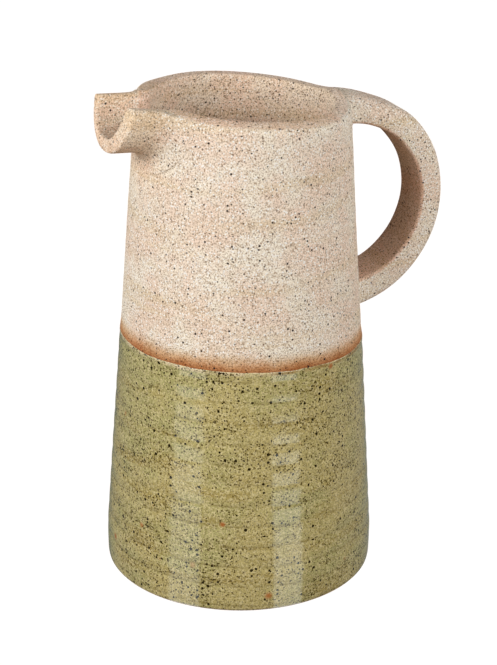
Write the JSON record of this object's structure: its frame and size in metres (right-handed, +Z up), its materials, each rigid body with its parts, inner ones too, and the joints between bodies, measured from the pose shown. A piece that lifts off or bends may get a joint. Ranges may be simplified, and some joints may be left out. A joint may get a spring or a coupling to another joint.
{
  "type": "water pitcher",
  "caption": "Tapering stoneware water pitcher with a sloping rim, a short U-shaped pouring spout, a ring-shaped strap handle and a dipped glaze on its lower half.",
  "frame": {"origin": "on the body's axis, in the plane of the foot ring that the pitcher stands on", "axes": "+Z up along the body's axis, +X towards the handle, so that the spout points to -X"},
  "size_m": [0.1732, 0.135, 0.245],
  "materials": {
    "clay": "bare grogged stoneware, sandy pink-beige with pale grog and dark iron specks",
    "slip": "bare fired slip of the body's own clay",
    "olive_glaze": "glossy olive-green glaze with dark iron specks",
    "iron_line": "matt rusty iron line",
    "liner_glaze": "thin clear glaze over the clay"
  },
  "bodies": {
    "root": {"body": "clay", "spout": "clay", "handle": "clay", "spout_slip": "slip", "handle_top_slip": "slip", "handle_foot_slip": "slip", "outer_glaze": "olive_glaze", "iron_line": "iron_line", "liner_glaze": "liner_glaze"}
  },
  "joints": []
}
